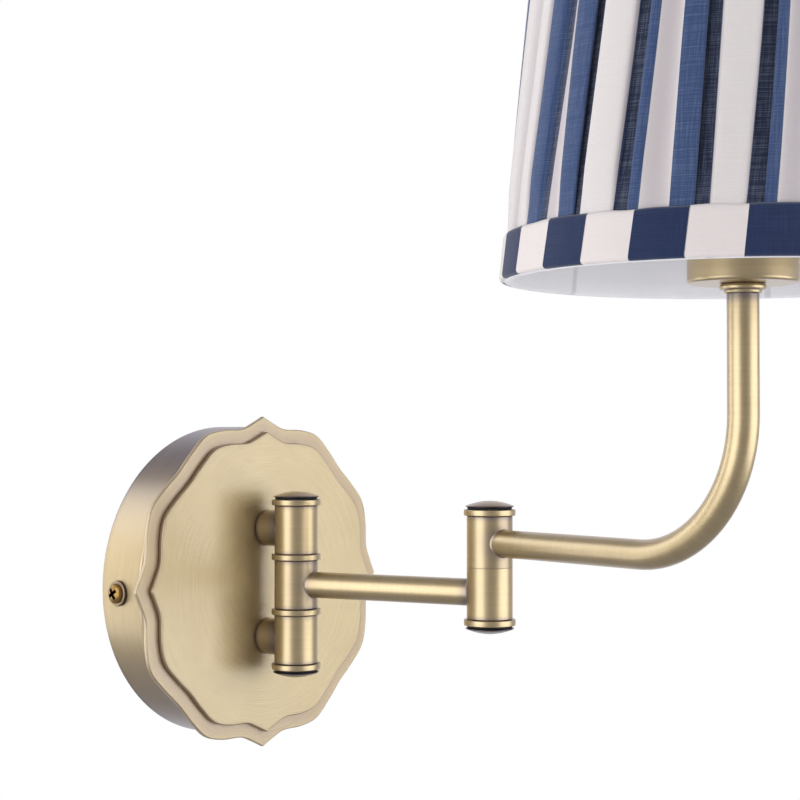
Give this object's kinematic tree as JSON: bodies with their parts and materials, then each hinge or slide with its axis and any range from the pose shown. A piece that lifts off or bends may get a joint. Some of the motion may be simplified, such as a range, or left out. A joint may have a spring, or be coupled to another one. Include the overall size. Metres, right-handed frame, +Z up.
{
  "type": "swing arm wall sconce",
  "caption": "Brass swing arm wall light with a scalloped back plate, a double-jointed arm that turns up to a lampholder, and a pleated striped shade.",
  "frame": {"origin": "middle of the back, on the wall plane", "axes": "+Y into the wall, the arms reach out along -Y, +Z up, +X to the right of someone facing the wall"},
  "size_m": [0.1499, 0.3194, 0.306],
  "materials": {
    "antique_brass": "brushed antique brass, lacquered",
    "dark_brass": "darkened antique brass",
    "steel": "zinc plated",
    "rubber": "matte black",
    "insulator": "moulded",
    "flex_cover": "gold coloured insulation",
    "cover_fabric": "pleated cotton, navy and cream stripes",
    "hem_fabric": "flat cotton band, navy and cream blocks",
    "lining_fabric": "smooth pale lining",
    "bulb_glass": "frosted"
  },
  "bodies": {
    "root": {"canopy_pan": "antique_brass", "outer_plate": "antique_brass", "inner_plate": "antique_brass", "upper_post": "antique_brass", "lower_post": "antique_brass", "wall_pivot_upper_knuckle": "antique_brass", "wall_pivot_lower_knuckle": "antique_brass", "wall_pivot_upper_bearing_ring": "antique_brass", "wall_pivot_lower_bearing_ring": "antique_brass", "wall_pivot_top_ring": "antique_brass", "wall_pivot_bottom_ring": "antique_brass", "side_screw_left": "antique_brass", "side_screw_right": "antique_brass", "earth_screw": "antique_brass", "upper_post_nut": "antique_brass", "lower_post_nut": "antique_brass", "side_washer_left": "dark_brass", "side_washer_right": "dark_brass", "wall_pivot_top_cap": "dark_brass", "wall_pivot_bottom_cap": "dark_brass", "wall_bracket": "steel", "upper_post_nipple": "steel", "lower_post_nipple": "steel", "wall_pivot_pin": "steel", "wall_pivot_top_washer": "rubber", "wall_pivot_bottom_washer": "rubber", "terminal_block": "insulator", "flex_wall": "flex_cover"},
    "arm_1": {"swivel_knuckle": "antique_brass", "arm_1_tube": "antique_brass", "elbow_lower_knuckle": "antique_brass", "elbow_friction_washer": "steel", "elbow_bottom_ring": "antique_brass", "elbow_bottom_washer": "rubber", "elbow_bottom_cap": "dark_brass", "elbow_top_washer": "rubber", "elbow_top_cap": "dark_brass", "elbow_pin": "steel", "flex_arm_1": "flex_cover"},
    "arm_2": {"elbow_upper_knuckle": "antique_brass", "elbow_top_ring": "antique_brass", "arm_2_tube": "antique_brass", "lampholder_collar": "antique_brass", "lampholder_cup": "antique_brass", "lampholder_nipple": "steel", "lampholder_body": "insulator", "lampholder_sleeve": "antique_brass", "lampholder_contact": "antique_brass", "bulb_cap": "steel", "bulb_glass": "bulb_glass", "shade_nut_lower": "antique_brass", "shade_nut_upper": "antique_brass", "flex_arm_2": "flex_cover", "shade_cover": "cover_fabric", "shade_bottom_hem": "hem_fabric", "shade_top_hem": "hem_fabric", "shade_frame": "steel", "shade_lining": "lining_fabric", "shade_carrier": "steel"}
  },
  "joints": [
    {"name": "wall_swing", "type": "hinge", "parent": "root", "child": "arm_1", "pos_m": [0, -0.0425, 0], "axis": [0, 0, 1], "range_deg": [-93.2, 66.8]},
    {"name": "elbow_swing", "type": "hinge", "parent": "arm_1", "child": "arm_2", "pos_m": [0.01895, -0.12331, 0], "axis": [0, 0, 1], "range_deg": [-74.5, 125.5]}
  ]
}
